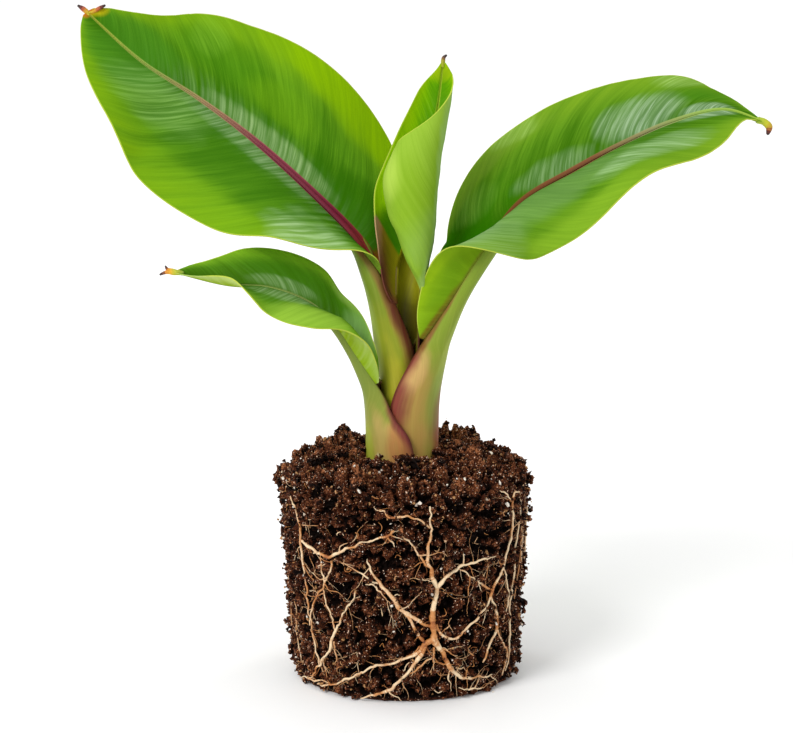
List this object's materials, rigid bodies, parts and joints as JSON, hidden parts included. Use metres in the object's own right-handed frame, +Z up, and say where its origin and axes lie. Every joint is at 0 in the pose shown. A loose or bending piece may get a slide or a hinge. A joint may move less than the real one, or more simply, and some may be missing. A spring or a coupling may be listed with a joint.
{
  "type": "banana plant",
  "caption": "Young banana plant: broad paddle-shaped leaves with channelled midribs rising from nested leaf sheaths, on a bare round root ball that stands by itself.",
  "frame": {"origin": "centre of the flat underside of the root ball", "axes": "+Z up along the stem, +X to the side of the long drooping leaf, -Y to the side that faces the viewer"},
  "size_m": [0.2895, 0.1075, 0.2779],
  "materials": {
    "root_ball": "matt crumbly dark brown compost with fibres and white specks",
    "roots": "dull cream to tan, browner where they branch",
    "sheath": "smooth pale yellow-green with lengthwise streaks and dull red edges",
    "midrib": "smooth, dull red-brown in its channel and yellow-green outside",
    "blade": "satin green with fine side veins, a pale sheen beside the rib and a thin yellow margin",
    "young_blade": "satin light yellow-green, darker green on the upper face",
    "tip": "dry, yellow through orange-brown to near black"
  },
  "bodies": {
    "root": {"leaf_lower_left_blade_left": "blade", "leaf_lower_left_blade_right": "blade", "leaf_lower_left_midrib": "midrib", "leaf_lower_left_sheath": "sheath", "leaf_lower_left_tip": "tip", "leaf_right_blade_left": "blade", "leaf_right_blade_right": "blade", "leaf_right_midrib": "midrib", "leaf_right_sheath": "sheath", "leaf_right_tip": "tip", "leaf_rolled_blade_left": "young_blade", "leaf_rolled_blade_right": "young_blade", "leaf_rolled_midrib": "midrib", "leaf_rolled_sheath": "sheath", "leaf_rolled_tip": "tip", "leaf_upper_left_blade_left": "blade", "leaf_upper_left_blade_right": "blade", "leaf_upper_left_midrib": "midrib", "leaf_upper_left_sheath": "sheath", "leaf_upper_left_tip": "tip", "root_back_1": "roots", "root_back_2": "roots", "root_back_3": "roots", "root_back_4": "roots", "root_back_5": "roots", "root_back_6": "roots", "root_back_7": "roots", "root_back_8": "roots", "root_back_9": "roots", "root_ball": "root_ball", "root_front": "roots", "root_left": "roots", "root_right": "roots"}
  },
  "joints": []
}
